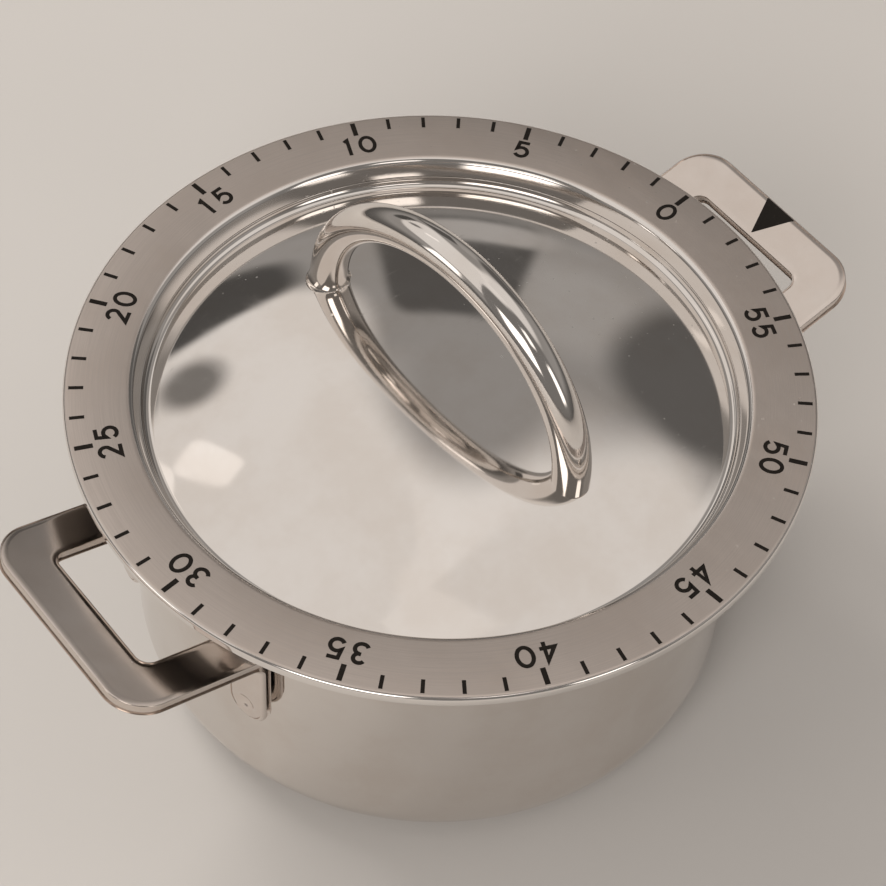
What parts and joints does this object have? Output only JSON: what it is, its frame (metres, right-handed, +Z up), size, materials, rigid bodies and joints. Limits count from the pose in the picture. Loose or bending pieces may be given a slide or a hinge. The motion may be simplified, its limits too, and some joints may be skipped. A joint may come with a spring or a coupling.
{
  "type": "pot-shaped kitchen timer",
  "caption": "Free-standing mechanical kitchen timer shaped like a small lidded steel pot; the numbered bezel, lid and knob turn against an index mark on one handle and wind a bell alarm.",
  "frame": {"origin": "middle of the rest face under the pot, on the dial axis", "axes": "+Z up along the dial axis; +X towards the handle that carries the index mark"},
  "size_m": [0.0891, 0.072, 0.0551],
  "materials": {
    "polished_steel": "mirror-polished stainless steel",
    "brushed_steel": "concentric brushed",
    "zinc_steel": "zinc-plated, satin",
    "brass": "satin",
    "spring_steel": "blued",
    "black_plastic": "moulded, fine grain",
    "black_rubber": "matte"
  },
  "bodies": {
    "case": {"pot_shell": "polished_steel", "index_handle": "polished_steel", "plain_handle": "polished_steel", "base_pad": "black_rubber", "lower_plate": "zinc_steel", "upper_plate": "zinc_steel", "base_screw_1": "zinc_steel", "base_screw_2": "zinc_steel", "base_screw_3": "zinc_steel", "standoff_1": "zinc_steel", "standoff_2": "zinc_steel", "standoff_3": "zinc_steel", "pillar_1": "zinc_steel", "pillar_2": "zinc_steel", "pillar_3": "zinc_steel", "plate_screw_1": "zinc_steel", "plate_screw_2": "zinc_steel", "plate_screw_3": "zinc_steel", "mainspring": "spring_steel", "spring_post": "zinc_steel", "bell": "polished_steel", "bell_post": "zinc_steel", "bell_nut": "zinc_steel", "striker_spring": "spring_steel"},
    "dial": {"bezel_ring": "brushed_steel", "lid": "polished_steel", "knob": "polished_steel", "dial_carrier": "black_plastic", "carrier_screw_1": "zinc_steel", "carrier_screw_2": "zinc_steel", "carrier_screw_3": "zinc_steel", "arbor": "zinc_steel", "main_wheel": "brass", "ratchet_wheel": "zinc_steel", "click": "zinc_steel", "click_spring": "spring_steel", "alarm_cam": "black_plastic"},
    "second_arbor": {"second_pinion": "zinc_steel", "second_wheel": "brass", "star_wheel": "zinc_steel"},
    "third_arbor": {"third_pinion": "zinc_steel", "third_wheel": "brass"},
    "escape_arbor": {"escape_pinion": "zinc_steel", "escape_wheel": "brass"},
    "pallet": {"pallet_arbor": "zinc_steel", "pallet_lever": "brass"},
    "striker": {"striker_arbor": "zinc_steel", "striker_lever": "zinc_steel", "striker_head": "brass", "cam_follower": "zinc_steel"}
  },
  "joints": [
    {"name": "dial_turn", "type": "hinge", "parent": "case", "child": "dial", "pos_m": [0, 0, 0.034], "axis": [0, 0, 1], "range_deg": [-7.54, 352.46], "deforming": ["mainspring"]},
    {"name": "second_spin", "type": "hinge", "parent": "case", "child": "second_arbor", "pos_m": [-0.01644, -0.00599, 0.0162], "axis": [0, 0, 1], "range_deg": [-2115, 46]},
    {"name": "third_spin", "type": "hinge", "parent": "case", "child": "third_arbor", "pos_m": [-0.01163, -0.01452, 0.0184], "axis": [0, 0, 1], "range_deg": [-272, 12689]},
    {"name": "escape_spin", "type": "hinge", "parent": "case", "child": "escape_arbor", "pos_m": [-0.00424, -0.01852, 0.0206], "axis": [0, 0, 1], "range_deg": [-63443, 1358]},
    {"name": "pallet_rock", "type": "hinge", "parent": "case", "child": "pallet", "pos_m": [0.00376, -0.01862, 0.0206], "axis": [0, 0, 1], "range_deg": [-3, 3]},
    {"name": "striker_swing", "type": "hinge", "parent": "case", "child": "striker", "pos_m": [-0.02294, 0.0016, 0.0104], "axis": [0, 0, 1], "range_deg": [-6, 10], "stiffness_Nm_per_rad": 0.005, "deforming": ["striker_spring"]}
  ],
  "couplings": [
    {"joint": "second_spin", "follows": "dial_turn", "ratio": -6},
    {"joint": "third_spin", "follows": "dial_turn", "ratio": 36},
    {"joint": "escape_spin", "follows": "dial_turn", "ratio": -180}
  ]
}
